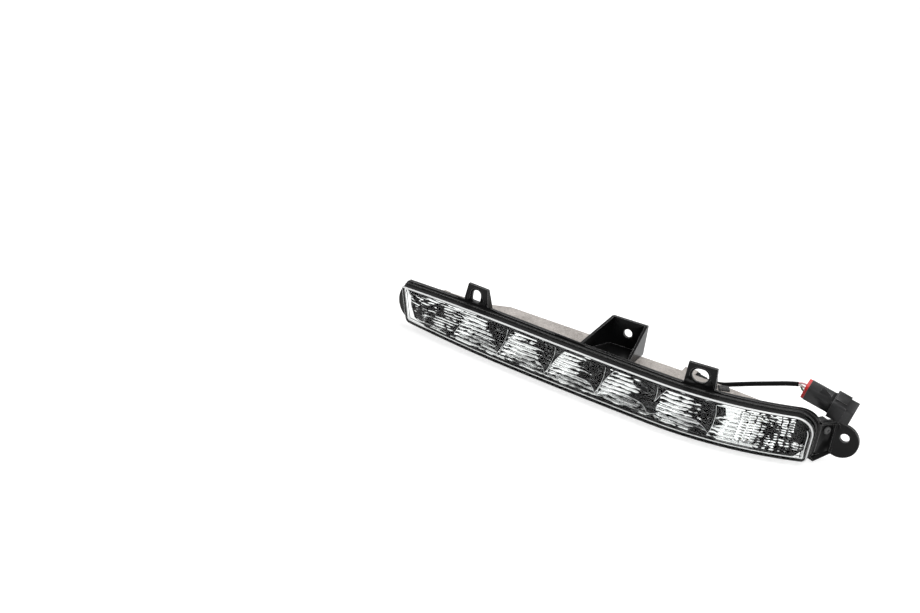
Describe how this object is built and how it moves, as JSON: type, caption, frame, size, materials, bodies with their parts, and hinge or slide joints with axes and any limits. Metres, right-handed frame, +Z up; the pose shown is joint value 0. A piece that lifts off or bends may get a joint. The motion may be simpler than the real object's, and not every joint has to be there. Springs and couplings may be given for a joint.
{
  "type": "daytime running light",
  "caption": "Long curved bumper lamp with a clear lens, mirror reflector bowls, black bracketed frame, grey housing and a short plug cable.",
  "frame": {"origin": "centre of the fixing hole in the centre bracket, halfway through its plate", "axes": "+X outboard along the lamp, +Y back into the bumper, +Z up"},
  "size_m": [0.3874, 0.0616, 0.0603],
  "materials": {
    "clear_lens": "clear moulded polycarbonate",
    "sealant": "black sealant bead",
    "gloss_black": "glossy black moulded plastic",
    "warm_grey": "fine-grained warm grey moulded plastic",
    "steel": "zinc-plated steel",
    "mirror_coat": "vacuum-metallised mirror coat",
    "board": "green solder mask",
    "pad": "soft thermal pad",
    "aluminium": "plain aluminium",
    "dark_parts": "black component bodies",
    "matte_black": "matte black moulded plastic",
    "soft_black": "black rubber",
    "cable_sheath": "black cable sheath",
    "wire_red": "red wire insulation",
    "wire_white": "white wire insulation",
    "wire_green": "green wire insulation",
    "seal_red": "red silicone seal",
    "tin": "tinned contacts",
    "lead_black": "thin insulated leads",
    "led_yellow": "phosphor under a clear dome"
  },
  "bodies": {
    "root": {"board_leads": "lead_black", "board_screws": "steel", "cable": "cable_sheath", "cable_grommet": "soft_black", "carrier_frame": "gloss_black", "connector_body": "matte_black", "connector_seal": "seal_red", "connector_sleeve": "matte_black", "connector_terminals": "tin", "driver_board": "board", "driver_capacitors": "aluminium", "driver_chip": "dark_parts", "driver_inductor": "dark_parts", "driver_screws": "steel", "end_bracket": "gloss_black", "end_bracket_screw": "steel", "heat_spreader": "aluminium", "housing_screws": "steel", "led_1": "led_yellow", "led_2": "led_yellow", "led_3": "led_yellow", "led_4": "led_yellow", "led_5": "led_yellow", "led_6": "led_yellow", "led_board": "board", "lens": "clear_lens", "lens_seal": "sealant", "rear_housing": "warm_grey", "reflector": "mirror_coat", "reflector_screws": "steel", "supply_leads": "lead_black", "thermal_pad": "pad", "vent_cap": "matte_black", "wire_green": "wire_green", "wire_red": "wire_red", "wire_white": "wire_white"}
  },
  "joints": []
}
